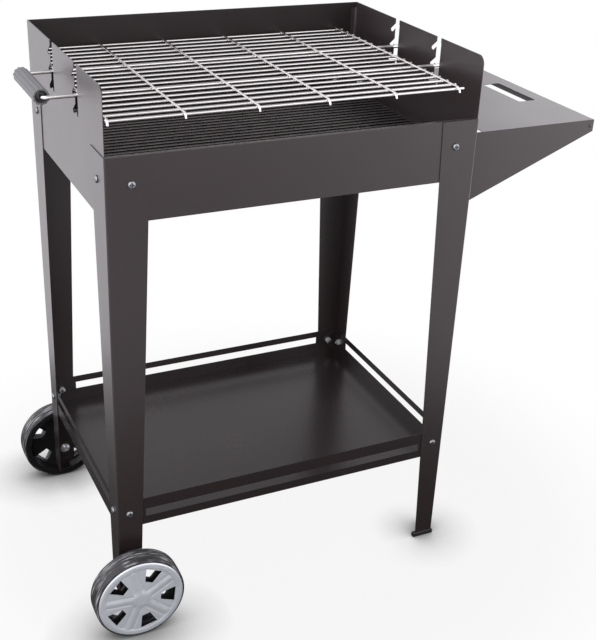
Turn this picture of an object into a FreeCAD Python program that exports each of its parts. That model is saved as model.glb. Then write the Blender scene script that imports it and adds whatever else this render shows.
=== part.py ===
import FreeCAD
import Part
import Sketcher
import math
import os

# Charcoal barbecue trolley: four folded sheet legs carry an open fire box with a
# wind shield on three sides, a lift-off wire grid, a slatted shelf tray low between
# the legs, a fixed side table on the right and two plastic wheels on the left.
# X runs to the right, the front faces -Y, Z is up, millimetres, ground at zero.

V = FreeCAD.Vector
doc = FreeCAD.newDocument("barbecue_trolley")
sheet = doc.addObject("Spreadsheet::Sheet", "sizes")

SIZES = {
    # overall frame
    "frame_width": 600.0,
    "frame_depth": 418.0,
    "rim_height": 797.0,
    "shield_height": 97.0,
    "firebox_height": 97.5,
    # sheet metal
    "leg_gauge": 1.2,
    "panel_gauge": 0.8,
    "hem_width": 8.0,
    "pan_edge": 12.0,
    "fold_radius": 2.2,
    # legs and feet
    "leg_top_width": 65.0,
    "leg_foot_width": 34.0,
    "leg_below_axle": 29.0,
    "foot_height": 8.0,
    "foot_floor": 2.0,
    "foot_width": 40.0,
    "foot_block": 8.0,
    "foot_rim": 1.6,
    "foot_edge": 1.3,
    "foot_play": 1.0,
    # grid slots in the side panels
    "slot_width": 14.0,
    "slot_center": -10.1,
    "notch_first": 24.0,
    "notch_pitch": 26.0,
    "notch_reach": 15.0,
    "notch_drop": 8.0,
    "shield_corner": 14.0,
    "rear_flange": 10.0,
    "rear_flange_room": 1.0,
    "rear_fold": 4.0,
    # charcoal grate
    "grate_drop": 52.0,
    "grate_end_room": 17.0,
    "grate_side_room": 20.0,
    "grate_bar": 5.0,
    "runner_inset": 79.0,
    "ledge_width": 26.0,
    "ledge_room": 2.25,
    "ledge_end_room": 0.5,
    "ledge_gauge": 1.5,
    "rest_gap": 0.25,
    # cooking grid
    "rod_wire": 6.0,
    "rod_gap": 0.3,
    "rod_side_gap": 0.4,
    "long_wire": 4.0,
    "cross_wire": 3.5,
    "grid_end_room": 19.0,
    "grid_side_room": 7.4,
    "grid_shift": -15.8,
    "long_overhang_left": 1.8,
    "long_overhang_right": 12.2,
    "cross_overhang": 1.5,
    "cross_bend": 7.0,
    "weld_sink": 0.25,
    "rod_tail": 13.0,
    "handle_reach": 46.0,
    "handle_bend": 6.5,
    # handle grip
    "grip_width": 24.6,
    "grip_end_room": 5.2,
    "grip_wall": 3.0,
    "grip_boss_wall": 2.1,
    "grip_boss_length": 6.0,
    "grip_recess": 16.0,
    "grip_edge": 0.8,
    "grip_play": 0.1,
    "flute_radius": 2.6,
    "flute_depth": 1.2,
    # shelf tray
    "shelf_floor": 178.0,
    "shelf_wall": 50.0,
    "window_height": 14.0,
    "window_low": 23.5,
    "front_window_low": 15.0,
    "window_margin": 46.0,
    # side table
    "table_drop": 30.5,
    "table_reach": 249.0,
    "table_setback": 24.0,
    "table_gap": 27.0,
    "table_lip": 20.0,
    "gusset_drop": 121.0,
    "table_gauge": 1.0,
    "hand_hole_width": 34.0,
    "hand_hole_length": 114.0,
    "hand_hole_margin": 27.0,
    "hand_hole_corner": 4.0,
    "table_flange": 32.0,
    "table_flange_rise": 6.0,
    "lip_tab": 14.0,
    "lip_tab_rise": 1.0,
    "rivet_inset": 7.0,
    "rivet_shank": 4.0,
    "rivet_head": 6.8,
    "rivet_head_height": 1.2,
    "rivet_tail": 0.2,
    # screws
    "firebox_bolt_inset": 38.0,
    "firebox_bolt_drop": 41.0,
    "shelf_bolt_inset": 20.0,
    "shelf_bolt_rise": 27.0,
    "table_bolt_below": 17.5,
    "screw_shank": 6.0,
    "screw_play": 0.2,
    "screw_head": 11.5,
    "screw_head_height": 3.6,
    "screw_head_side": 1.6,
    "screw_head_flat": 8.0,
    "screw_length": 12.0,
    "screw_nut": 10.0,
    "screw_nut_height": 5.0,
    # wheels
    "wheel_diameter": 148.0,
    "wheel_width": 35.0,
    "wheel_standoff": 17.0,
    "wheel_inset": 19.0,
    "front_wheel_turn": 23.75,
    "rear_wheel_turn": 65.0,
    "wheel_shoulder": 3.5,
    "tyre_depth": 14.0,
    "wheel_web": 5.0,
    "web_recess": 10.0,
    "hub_diameter": 26.0,
    "hub_recess": 8.5,
    "hub_draft": 2.0,
    "axle_shank": 8.0,
    "axle_play": 0.05,
    "axle_head": 18.0,
    "axle_head_height": 5.0,
    "axle_head_side": 1.6,
    "axle_head_flat": 9.0,
    "axle_nut": 13.0,
    "axle_nut_height": 6.4,
    "axle_tip": 1.0,
    "axle_washer": 22.0,
    "axle_washer_height": 3.0,
    "run_gap": 0.3,
    "cap_inset": 4.0,
    "cap_height": 2.8,
    "cap_disc": 1.4,
    "cap_boss": 3.1,
    "cap_boss_flat": 9.0,
    "cap_boss_foot": 20.0,
    "cap_rim_foot": 11.0,
    "cap_rim_flat": 7.0,
    "cap_edge": 2.0,
    "spoke_height": 2.2,
    "spoke_sink": 0.5,
    "spoke_start": 16.0,
    "spoke_end_room": 8.0,
    "spoke_inner_half": 3.2,
    "spoke_outer_half": 4.6,
    "window_inner": 33.0,
    "window_rim": 3.0,
    "window_inner_half": 7.0,
    "window_outer_half": 14.5,
}

for row, (alias, value) in enumerate(SIZES.items(), start=1):
    sheet.set("A%d" % row, alias)
    sheet.set("B%d" % row, "%s" % value)
    sheet.setAlias("B%d" % row, alias)
doc.recompute()


class Dim:
    """A length that keeps its value and the sheet formula it comes from."""

    def __init__(self, value, text):
        self.value = value
        self.text = text

    def __add__(self, other):
        return Dim(self.value + num(other), "(%s + %s)" % (self.text, txt(other)))

    def __radd__(self, other):
        return Dim(num(other) + self.value, "(%s + %s)" % (txt(other), self.text))

    def __sub__(self, other):
        return Dim(self.value - num(other), "(%s - %s)" % (self.text, txt(other)))

    def __rsub__(self, other):
        return Dim(num(other) - self.value, "(%s - %s)" % (txt(other), self.text))

    def __mul__(self, other):
        return Dim(self.value * num(other), "(%s * %s)" % (self.text, txt(other)))

    def __rmul__(self, other):
        return Dim(num(other) * self.value, "(%s * %s)" % (txt(other), self.text))

    def __truediv__(self, other):
        return Dim(self.value / num(other), "(%s / %s)" % (self.text, txt(other)))

    def __neg__(self):
        return Dim(-self.value, "(0 - %s)" % self.text)


def num(item):
    return item.value if isinstance(item, Dim) else float(item)


def txt(item):
    if isinstance(item, Dim):
        return item.text
    if item < 0:
        return "(0 - %r)" % abs(float(item))
    return "%r" % float(item)


def dim(alias):
    return Dim(SIZES[alias], "sizes.%s" % alias)


def bind(thing, prop, length):
    """Drive one property of a feature from the sheet."""
    if isinstance(length, Dim):
        thing.setExpression(prop, length.text)


# Derived sizes that several pieces share.
half_w = dim("frame_width") / 2
half_d = dim("frame_depth") / 2
rim = dim("rim_height")
shield_top = rim + dim("shield_height")
box_low = rim - dim("firebox_height")
leg_t = dim("leg_gauge")
sheet_t = dim("panel_gauge")
panel_x = half_w - leg_t
panel_y = half_d - leg_t
inner_x = panel_x - sheet_t
inner_y = panel_y - sheet_t
wheel_r = dim("wheel_diameter") / 2
wheel_x = -(half_w - dim("wheel_inset"))
grip_x = -(half_w + dim("handle_reach"))
seat_z = shield_top - (dim("notch_first") + dim("notch_pitch"))
rod_z = seat_z + dim("rod_wire") / 2 + dim("rod_gap")
wire_top = rod_z + dim("rod_wire") / 2
wire_gaps = 18
rod_gaps = 6
wire_pitch = (dim("frame_depth") - 2 * dim("grid_side_room")) / wire_gaps
slot_spacing = wire_pitch * rod_gaps
grid_y = dim("slot_center") + dim("slot_width") / 2 - dim("rod_wire") / 2 - dim("rod_side_gap")
grid_length = dim("frame_width") - 2 * dim("grid_end_room")
cross_pitch = (grid_length - dim("long_overhang_left") - dim("long_overhang_right")) / 5
screw_hole = dim("screw_shank") / 2 + dim("screw_play")
box_bolt_z = rim - dim("firebox_bolt_drop")
shelf_bolt_z = dim("shelf_floor") + dim("shelf_bolt_rise")
table_bolt_z = box_low - dim("table_bolt_below")
over_pan = box_low + dim("pan_edge") + dim("ledge_room")
left_leg_end = wheel_r - dim("leg_below_axle")
table_x = half_w + dim("table_reach")
table_z = rim - dim("table_drop")
table_half = half_d - dim("table_setback")
# The library frame is centred on the whole object, so every piece is moved in X by
# the middle between the grip's outer side and the table's outer edge.
shift_x = -(table_x + (grip_x - dim("grip_width") / 2)) / 2

NODES = {}


def new_body(name):
    body = doc.addObject("PartDesign::Body", name)
    NODES[name] = body
    body.Placement.Base = V(shift_x.value, 0, 0)
    bind(body, "Placement.Base.x", shift_x)
    return body


def new_sketch(body, plane, offset):
    """Sketch on one of the body's own origin planes, moved along its world axis."""
    sk = body.newObject("Sketcher::SketchObject", body.Name + "_sketch")
    for datum in body.Origin.OriginFeatures:
        if datum.Role == plane:
            sk.AttachmentSupport = [(datum, "")]
    sk.MapMode = "FlatFace"
    level = -offset if plane == "XZ_Plane" else offset
    sk.AttachmentOffset = FreeCAD.Placement(V(0, 0, num(level)), FreeCAD.Rotation())
    bind(sk, "AttachmentOffset.Base.z", level)
    return sk


def fix(sk, geo, pos, x, y):
    """Hold one sketch point at its two sheet-driven distances from the origin."""
    for kind, length in (("DistanceX", x), ("DistanceY", y)):
        index = sk.addConstraint(Sketcher.Constraint(kind, -1, 1, geo, pos, num(length)))
        bind(sk, "Constraints[%d]" % index, length)


def outline(sk, points):
    """Closed outline of straight lines through sheet-driven corners."""
    first = sk.GeometryCount
    count = len(points)
    for i in range(count):
        a = points[i]
        b = points[(i + 1) % count]
        sk.addGeometry(Part.LineSegment(V(num(a[0]), num(a[1]), 0), V(num(b[0]), num(b[1]), 0)))
    for i in range(count):
        sk.addConstraint(Sketcher.Constraint("Coincident", first + i, 2, first + (i + 1) % count, 1))
    for i, (x, y) in enumerate(points):
        fix(sk, first + i, 1, x, y)


def box(sk, x0, x1, y0, y1):
    outline(sk, [(x0, y0), (x1, y0), (x1, y1), (x0, y1)])


def ring(sk, x, y, radius):
    geo = sk.addGeometry(Part.Circle(V(num(x), num(y), 0), V(0, 0, 1), num(radius)))
    fix(sk, geo, 3, x, y)
    index = sk.addConstraint(Sketcher.Constraint("Radius", geo, num(radius)))
    bind(sk, "Constraints[%d]" % index, radius)


def pad(body, sk, length, grow=1):
    """Add material from a sketch towards +axis (grow 1) or -axis (grow -1)."""
    feature = body.newObject("PartDesign::Pad", body.Name + "_pad")
    feature.Profile = sk
    feature.Length = num(length)
    bind(feature, "Length", length)
    along = sk.AttachmentSupport[0][0].Role != "XZ_Plane"
    feature.Reversed = (grow < 0) == along
    sk.Visibility = False
    return feature


def cut(body, sk, length, grow=1):
    """Remove material from a sketch towards +axis (grow 1) or -axis (grow -1)."""
    feature = body.newObject("PartDesign::Pocket", body.Name + "_cut")
    feature.Profile = sk
    feature.Length = num(length)
    bind(feature, "Length", length)
    along = sk.AttachmentSupport[0][0].Role != "XZ_Plane"
    feature.Reversed = (grow > 0) == along
    sk.Visibility = False
    return feature


def revolve(body, sk, axis):
    feature = body.newObject("PartDesign::Revolution", body.Name + "_turned")
    feature.Profile = sk
    feature.ReferenceAxis = (sk, [axis])
    feature.Angle = 360.0
    sk.Visibility = False
    return feature


def around(body, feature, axis_role, count):
    """Repeat one feature evenly round an axis of the body."""
    pattern = body.newObject("PartDesign::PolarPattern", body.Name + "_round")
    pattern.Originals = [feature]
    for datum in body.Origin.OriginFeatures:
        if datum.Role == axis_role:
            pattern.Axis = (datum, [""])
    pattern.Angle = 360.0
    pattern.Occurrences = count
    body.Tip = pattern
    return pattern


def soften(body, base, radius, wanted):
    """Fillet the edges of a feature that a test on their ends picks out."""
    doc.recompute()
    names = []
    for i, edge in enumerate(base.Shape.Edges, start=1):
        ends = [v.Point for v in edge.Vertexes]
        if len(ends) == 2 and wanted(ends[0], ends[1]):
            names.append("Edge%d" % i)
    feature = body.newObject("PartDesign::Fillet", body.Name + "_soft")
    feature.Base = (base, names)
    feature.Radius = num(radius)
    bind(feature, "Radius", radius)
    return feature


def near(a, b):
    return abs(a - num(b)) < 0.02


def leg_width(z):
    """Width of a leg flange at a height, tapering from the rim to the ground."""
    foot = dim("leg_foot_width")
    return foot + (dim("leg_top_width") - foot) * (z / rim)


def make_leg(name, side, face, low):
    """Folded angle leg: side -1 is left, +1 right; face -1 is front, +1 rear."""
    body = new_body(name)
    corner_x = side * half_w
    corner_y = face * half_d
    sk = new_sketch(body, "XZ_Plane", corner_y)
    outline(sk, [(corner_x, low), (corner_x - side * leg_width(low), low),
                 (corner_x - side * leg_width(rim), rim), (corner_x, rim)])
    pad(body, sk, leg_t, -face)
    sk = new_sketch(body, "YZ_Plane", corner_x)
    outline(sk, [(corner_y, low), (corner_y - face * leg_width(low), low),
                 (corner_y - face * leg_width(rim), rim), (corner_y, rim)])
    folded = pad(body, sk, leg_t, -side)
    soften(body, folded, dim("fold_radius"),
           lambda a, b: near(a.x, corner_x) and near(b.x, corner_x)
           and near(a.y, corner_y) and near(b.y, corner_y))
    sk = new_sketch(body, "XZ_Plane", corner_y)
    ring(sk, corner_x - side * dim("firebox_bolt_inset"), box_bolt_z, screw_hole)
    ring(sk, corner_x - side * dim("shelf_bolt_inset"), shelf_bolt_z, screw_hole)
    if side < 0:
        ring(sk, wheel_x, wheel_r, dim("axle_shank") / 2 + dim("axle_play"))
    cut(body, sk, leg_t * 4, -face)
    sk = new_sketch(body, "YZ_Plane", corner_x)
    ring(sk, corner_y - face * dim("firebox_bolt_inset"), box_bolt_z, screw_hole)
    ring(sk, corner_y - face * dim("shelf_bolt_inset"), shelf_bolt_z, screw_hole)
    if side > 0:
        ring(sk, corner_y - face * dim("firebox_bolt_inset"), table_bolt_z, screw_hole)
    cut(body, sk, leg_t * 4, -side)
    return body


# The four legs. The left pair ends above the ground and carries the wheel bolts, the
# right pair stands in plastic feet.
foot_floor = dim("foot_floor")
make_leg("leg_front_left", -1, -1, left_leg_end)
make_leg("leg_rear_left", -1, 1, left_leg_end)
make_leg("leg_front_right", 1, -1, foot_floor)
make_leg("leg_rear_right", 1, 1, foot_floor)


def make_foot(name, face):
    """Plastic foot: an L block with a groove that takes the end of a right leg."""
    body = new_body(name)
    out_x = half_w + dim("foot_rim")
    out_y = face * (half_d + dim("foot_rim"))
    width = dim("foot_width")
    thick = dim("foot_block")
    sk = new_sketch(body, "XY_Plane", 0)
    outline(sk, [(out_x, out_y), (out_x - width, out_y),
                 (out_x - width, out_y - face * thick), (out_x - thick, out_y - face * thick),
                 (out_x - thick, out_y - face * width), (out_x, out_y - face * width)])
    block = pad(body, sk, dim("foot_height"))
    soften(body, block, dim("foot_edge"),
           lambda a, b: near(a.z, dim("foot_height")) and near(b.z, dim("foot_height")))
    span = leg_width(dim("foot_height")) + dim("foot_play")
    sk = new_sketch(body, "XY_Plane", foot_floor)
    corner_y = face * half_d
    outline(sk, [(half_w, corner_y), (half_w - span, corner_y),
                 (half_w - span, corner_y - face * leg_t), (half_w - leg_t, corner_y - face * leg_t),
                 (half_w - leg_t, corner_y - face * span), (half_w, corner_y - face * span)])
    cut(body, sk, dim("foot_height") * 2, 1)


make_foot("foot_front_right", -1)
make_foot("foot_rear_right", 1)

# Low front panel of the fire box with its top edge folded inwards.
body = new_body("front_panel")
sk = new_sketch(body, "XZ_Plane", -panel_y)
box(sk, -panel_x, panel_x, box_low, rim)
pad(body, sk, sheet_t, 1)
sk = new_sketch(body, "XY_Plane", rim)
box(sk, -inner_x, inner_x, -panel_y, -panel_y + dim("hem_width"))
folded = pad(body, sk, sheet_t, -1)
soften(body, folded, sheet_t * 0.8,
       lambda a, b: near(a.z, rim) and near(b.z, rim) and near(a.y, -panel_y) and near(b.y, -panel_y))
sk = new_sketch(body, "XZ_Plane", -panel_y)
for side in (-1, 1):
    ring(sk, side * (half_w - dim("firebox_bolt_inset")), box_bolt_z, screw_hole)
cut(body, sk, sheet_t * 4, 1)

# Back panel, one sheet from the bottom of the box to the top of the wind shield, with
# the top edge folded flat inwards.
body = new_body("back_panel")
sk = new_sketch(body, "XZ_Plane", panel_y)
box(sk, -panel_x, panel_x, box_low, shield_top)
pad(body, sk, sheet_t, -1)
sk = new_sketch(body, "XZ_Plane", inner_y)
box(sk, -inner_x, inner_x, shield_top - dim("hem_width"), shield_top)
folded = pad(body, sk, sheet_t, -1)
soften(body, folded, sheet_t * 0.9,
       lambda a, b: near(a.z, shield_top) and near(b.z, shield_top) and abs(a.x - b.x) > 50)
sk = new_sketch(body, "XZ_Plane", panel_y)
for side in (-1, 1):
    ring(sk, side * (half_w - dim("firebox_bolt_inset")), box_bolt_z, screw_hole)
cut(body, sk, sheet_t * 4, -1)


def notch_outline(sk, middle):
    """Open-topped channel with three slanted seats towards the rear, one above another."""
    half = dim("slot_width") / 2
    edge = middle + half
    reach = dim("notch_reach")
    drop = dim("notch_drop")
    points = [(middle - half, shield_top + 3)]
    last = shield_top - (dim("notch_first") + 2 * dim("notch_pitch"))
    points.append((middle - half, last))
    for step in (2, 1, 0):
        seat = shield_top - (dim("notch_first") + step * dim("notch_pitch"))
        if step == 2:
            points.append((middle - half / 3, last))
            points.append((middle + half / 4, seat + drop * 0.7))
        else:
            points.append((edge, seat + drop * 0.9))
        points.append((edge + reach * 0.55, seat))
        points.append((edge + reach * 0.9, seat + drop * 0.1))
        points.append((edge + reach, seat + drop * 0.55))
        points.append((edge, seat + drop * 2))
    points.append((edge, shield_top + 3))
    outline(sk, points)


def make_side_panel(name, side):
    """Side of the fire box and wind shield in one sheet, with the grid's two slots. Its rear
    edge is folded round the corner and lies against the back panel."""
    body = new_body(name)
    front = -inner_y
    sk = new_sketch(body, "YZ_Plane", side * panel_x)
    box(sk, front, inner_y, box_low, shield_top)
    pad(body, sk, sheet_t, -side)
    sk = new_sketch(body, "YZ_Plane", side * inner_x)
    box(sk, front, inner_y - sheet_t, shield_top - dim("hem_width"), shield_top)
    hem = pad(body, sk, sheet_t, -side)
    soften(body, hem, dim("shield_corner"),
           lambda a, b: near(a.y, front) and near(b.y, front)
           and near(a.z, shield_top) and near(b.z, shield_top))
    sk = new_sketch(body, "XZ_Plane", inner_y)
    flange_top = shield_top - dim("hem_width") - dim("rear_flange_room")
    box(sk, side * inner_x, side * (inner_x - dim("rear_flange")), over_pan, flange_top)
    flange = pad(body, sk, sheet_t, -1)
    fold_y = inner_y - sheet_t
    soften(body, flange, dim("rear_fold"),
           lambda a, b: near(a.x, side * inner_x) and near(b.x, side * inner_x)
           and near(a.y, fold_y) and near(b.y, fold_y) and abs(a.z - b.z) > 50)
    for center in (-1, 1):
        sk = new_sketch(body, "YZ_Plane", side * (panel_x + 1))
        notch_outline(sk, dim("slot_center") + center * slot_spacing / 2)
        cut(body, sk, sheet_t * 6, -side)
    sk = new_sketch(body, "YZ_Plane", side * panel_x)
    for face in (-1, 1):
        ring(sk, face * (half_d - dim("firebox_bolt_inset")), box_bolt_z,
             screw_hole)
    cut(body, sk, sheet_t * 4, -side)


make_side_panel("left_panel", -1)
make_side_panel("right_panel", 1)

# Floor of the fire box, a shallow pan whose edge stands up against the four panels.
body = new_body("firebox_floor")
sk = new_sketch(body, "XY_Plane", box_low)
box(sk, -inner_x, inner_x, -inner_y, inner_y)
pad(body, sk, sheet_t)
sk = new_sketch(body, "XY_Plane", box_low)
box(sk, -inner_x, inner_x, -inner_y, inner_y)
box(sk, -(inner_x - sheet_t), inner_x - sheet_t, -(inner_y - sheet_t), inner_y - sheet_t)
pad(body, sk, dim("pan_edge"))


def round_solid(kind, name, lengths, base, turn):
    """Cylinder or torus with bound sizes, turned and set on its bound base point."""
    thing = doc.addObject("Part::" + kind, name)
    for prop, length in lengths.items():
        setattr(thing, prop, num(length))
        bind(thing, prop, length)
    thing.Placement = FreeCAD.Placement(V(num(base[0]), num(base[1]), num(base[2])), turn)
    for letter, length in zip("xyz", base):
        bind(thing, "Placement.Base." + letter, length)
    thing.Visibility = False
    return thing


def cylinder(name, radius, height, base, axis):
    """Straight wire as a cylinder from its base point along X or Y."""
    turn = FreeCAD.Rotation(V(0, 1, 0), 90) if axis == "x" else FreeCAD.Rotation(V(1, 0, 0), -90)
    return round_solid("Cylinder", name, {"Radius": radius, "Height": height}, base, turn)


def gather(name, pieces):
    """One node made of separate solids that belong together."""
    group = doc.addObject("Part::Compound", name)
    group.Links = pieces
    group.Placement.Base = V(shift_x.value, 0, 0)
    bind(group, "Placement.Base.x", shift_x)
    NODES[name] = group
    return group


# Charcoal grate: parallel bars welded on three runners, lying loose on two ledges.
bar_r = dim("grate_bar") / 2
grate_z = rim - dim("grate_drop")
grate_length = dim("frame_width") - 2 * dim("grate_end_room")
bar_count = 28
bar_pitch = (dim("frame_depth") - 2 * dim("grate_side_room")) / (bar_count - 1)
bars = []
for i in range(bar_count):
    y = (i - (bar_count - 1) / 2) * bar_pitch
    bars.append(cylinder("grate_bar", bar_r, grate_length, (-grate_length / 2, y, grate_z), "x"))
gather("grate_bars", bars)
runners = []
run_y = (bar_count - 1) / 2 * bar_pitch
runner_x = grate_length / 2 - dim("runner_inset")
for place in (-1, 0, 1):
    base = (place * runner_x, -run_y, grate_z - dim("grate_bar") + dim("weld_sink"))
    runners.append(cylinder("grate_runner", bar_r, run_y * 2, base, "y"))
gather("grate_runners", runners)
ledge_top = grate_z - bar_r - dim("rest_gap")


def make_ledge(name, side):
    """Angle strip inside a side panel that the charcoal grate lies on."""
    body = new_body(name)
    span = inner_y - sheet_t - dim("rear_fold") - dim("ledge_end_room")
    edge = inner_x - dim("ledge_width")
    sk = new_sketch(body, "XZ_Plane", -span)
    thick = dim("ledge_gauge")
    outline(sk, [(side * inner_x, ledge_top), (side * edge, ledge_top),
                 (side * edge, ledge_top - thick), (side * (inner_x - thick), ledge_top - thick),
                 (side * (inner_x - thick), over_pan), (side * inner_x, over_pan)])
    pad(body, sk, span * 2, 1)


make_ledge("grate_ledge_left", -1)
make_ledge("grate_ledge_right", 1)

# Cooking grid: long thin wires under six cross wires, all welded. The seventh and the
# thirteenth places are taken by the thicker carrying rod, and all their tops are level.
wire_count = wire_gaps + 1
rod_places = (6, 12)
long_r = dim("long_wire") / 2
cross_r = dim("cross_wire") / 2
grid_x = dim("grid_shift") - grid_length / 2
long_wires = []
for i in range(wire_count):
    if i not in rod_places:
        y = grid_y + (i - (wire_count - 1) / 2) * wire_pitch
        long_wires.append(cylinder("long_wire", long_r, grid_length, (grid_x, y, wire_top - long_r), "x"))
gather("grid_long_wires", long_wires)
cross_half = (wire_count - 1) / 2 * wire_pitch + dim("cross_overhang")
cross_z = wire_top + cross_r - dim("weld_sink")


def cross_wire(x):
    """Wire over the long wires whose two ends turn down in a quarter circle."""
    bend = dim("cross_bend")
    pieces = [cylinder("cross_bar", cross_r, cross_half * 2, (x, grid_y - cross_half, cross_z), "y")]
    for face in (-1, 1):
        turn = FreeCAD.Rotation(V(0, 0, 1), V(0, face, 0), V(-face, 0, 0), "XYZ")
        base = (x, grid_y + face * cross_half, cross_z - bend)
        pieces.append(round_solid("Torus", "cross_end", {"Radius1": bend, "Radius2": cross_r}, base, turn))
        pieces[-1].Angle3 = 90
    wire = doc.addObject("Part::MultiFuse", "cross_wire")
    wire.Shapes = pieces
    wire.Visibility = False
    return wire


first_x = grid_x + dim("long_overhang_left")
cross_wires = [cross_wire(first_x + i * cross_pitch) for i in range(6)]
gather("grid_cross_wires", cross_wires)

# Carrying rod of the grid: one wire that comes in through the right panel, runs out
# through the left panel, turns round as the handle and goes back.
body = new_body("grid_rod")
rod_half = slot_spacing / 2
bend = dim("handle_bend")
path = new_sketch(body, "XY_Plane", rod_z)
tail = half_w + dim("rod_tail")
front_rod = grid_y - rod_half
rear_rod = grid_y + rod_half
corners = [((tail, front_rod), (grip_x + bend, front_rod)),
           ((grip_x, front_rod + bend), (grip_x, rear_rod - bend)),
           ((grip_x + bend, rear_rod), (tail, rear_rod))]
for start, end in corners:
    geo = path.addGeometry(Part.LineSegment(V(num(start[0]), num(start[1]), 0), V(num(end[0]), num(end[1]), 0)))
    fix(path, geo, 1, start[0], start[1])
    fix(path, geo, 2, end[0], end[1])
for center_y, start_angle, before in ((front_rod + bend, math.pi, 0), (rear_rod - bend, math.pi / 2, 1)):
    circle = Part.Circle(V(num(grip_x + bend), num(center_y), 0), V(0, 0, 1), num(bend))
    geo = path.addGeometry(Part.ArcOfCircle(circle, start_angle, start_angle + math.pi / 2))
    path.addConstraint(Sketcher.Constraint("Coincident", geo, 2, before, 2))
    path.addConstraint(Sketcher.Constraint("Coincident", geo, 1, before + 1, 1))
    index = path.addConstraint(Sketcher.Constraint("Radius", geo, num(bend)))
    bind(path, "Constraints[%d]" % index, bend)
path.Visibility = False
section = new_sketch(body, "YZ_Plane", tail)
ring(section, front_rod, rod_z, dim("rod_wire") / 2)
section.Visibility = False
sweep = body.newObject("PartDesign::AdditivePipe", "grid_rod_sweep")
sweep.Profile = section
sweep.Spine = (path, ["Edge1", "Edge4", "Edge2", "Edge5", "Edge3"])

# Hollow fluted plastic grip that turns on the handle wire.
body = new_body("handle_grip")
flute_count = 11
grip_half = rod_half - dim("grip_end_room")
grip_r = dim("grip_width") / 2
bore_r = dim("rod_wire") / 2 + dim("grip_play")
boss_r = bore_r + dim("grip_boss_wall")
shell_r = grip_r - dim("grip_wall")
deep = grip_half - dim("grip_recess")
sk = new_sketch(body, "YZ_Plane", 0)
boss = deep + dim("grip_boss_length")
edge = dim("grip_edge")
outline(sk, [(-boss, bore_r), (-boss, boss_r), (-deep, boss_r), (-deep, shell_r),
             (-grip_half, shell_r), (-grip_half, grip_r - edge), (-grip_half + edge, grip_r),
             (grip_half - edge, grip_r), (grip_half, grip_r - edge), (grip_half, shell_r),
             (deep, shell_r), (deep, boss_r), (boss, boss_r), (boss, bore_r)])
revolve(body, sk, "H_Axis")
sk = new_sketch(body, "XZ_Plane", -(grip_half + 1))
ring(sk, 0, grip_r + dim("flute_radius") - dim("flute_depth"), dim("flute_radius"))
flute = cut(body, sk, grip_half * 2 + 2, 1)
around(body, flute, "Y_Axis", flute_count)
body.Placement.Base = V(num(grip_x + shift_x), num(grid_y), num(rod_z))
bind(body, "Placement.Base.x", grip_x + shift_x)
bind(body, "Placement.Base.y", grid_y)
bind(body, "Placement.Base.z", rod_z)

# Shelf tray: one folded sheet with a long window in each upstanding wall.
body = new_body("shelf_tray")
tray_low = dim("shelf_floor")
tray_top = tray_low + dim("shelf_wall")
sk = new_sketch(body, "XY_Plane", tray_low)
box(sk, -panel_x, panel_x, -panel_y, panel_y)
pad(body, sk, sheet_t)
sk = new_sketch(body, "XY_Plane", tray_low)
box(sk, -panel_x, panel_x, -panel_y, panel_y)
box(sk, -inner_x, inner_x, -inner_y, inner_y)
pad(body, sk, dim("shelf_wall"))
margin = dim("window_margin")
slot_hi = dim("window_height")
for face, low in ((-1, tray_low + dim("front_window_low")), (1, tray_low + dim("window_low"))):
    sk = new_sketch(body, "XZ_Plane", face * panel_y)
    box(sk, -(panel_x - margin), panel_x - margin, low, low + slot_hi)
    cut(body, sk, sheet_t * 2, -face)
    sk = new_sketch(body, "XZ_Plane", face * panel_y)
    for side in (-1, 1):
        ring(sk, side * (half_w - dim("shelf_bolt_inset")), shelf_bolt_z, screw_hole)
    cut(body, sk, sheet_t * 2, -face)
for side in (-1, 1):
    low = tray_low + dim("window_low")
    sk = new_sketch(body, "YZ_Plane", side * panel_x)
    box(sk, -(panel_y - margin), panel_y - margin, low, low + slot_hi)
    cut(body, sk, sheet_t * 2, -side)
    sk = new_sketch(body, "YZ_Plane", side * panel_x)
    for face in (-1, 1):
        ring(sk, face * (half_d - dim("shelf_bolt_inset")), shelf_bolt_z, screw_hole)
    cut(body, sk, sheet_t * 2, -side)

# Side table: top plate, two gussets, outer lip and two bolted end flanges in one sheet.
body = new_body("side_table")
table_t = dim("table_gauge")
table_in = half_w + dim("table_gap")
sk = new_sketch(body, "XY_Plane", table_z)
box(sk, table_in, table_x, -table_half, table_half)
pad(body, sk, table_t, -1)
sk = new_sketch(body, "YZ_Plane", table_x)
box(sk, -table_half, table_half, table_z - dim("table_lip"), table_z)
pad(body, sk, table_t, -1)
for face in (-1, 1):
    sk = new_sketch(body, "XZ_Plane", face * table_half)
    outline(sk, [(half_w, table_z - dim("gusset_drop")), (table_x, table_z - dim("table_lip")),
                 (table_x, table_z), (half_w, table_z)])
    pad(body, sk, table_t, -face)
    sk = new_sketch(body, "YZ_Plane", half_w)
    outer = face * table_half
    flange_low = table_z - dim("gusset_drop") + dim("table_flange_rise")
    box(sk, outer, outer - face * dim("table_flange"), flange_low, table_z - table_t)
    pad(body, sk, table_t, 1)
    sk = new_sketch(body, "XZ_Plane", face * (table_half - table_t))
    tab_low = table_z - dim("table_lip") + dim("lip_tab_rise")
    box(sk, table_x - dim("lip_tab"), table_x, tab_low, table_z)
    pad(body, sk, table_t, -face)
doc.recompute()
folded = soften(body, body.Tip, table_t,
                lambda a, b: near(a.z, table_z) and near(b.z, table_z)
                and near(a.x, table_x) and near(b.x, table_x))
hole_out = table_x - dim("hand_hole_margin")
sk = new_sketch(body, "XY_Plane", table_z + 1)
box(sk, hole_out - dim("hand_hole_width"), hole_out, -dim("hand_hole_length") / 2, dim("hand_hole_length") / 2)
window = cut(body, sk, table_t + 2, -1)
soften(body, window, dim("hand_hole_corner"),
       lambda a, b: near(a.x, b.x) and near(a.y, b.y)
       and abs(abs(a.y) - num(dim("hand_hole_length") / 2)) < 0.02)
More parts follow.
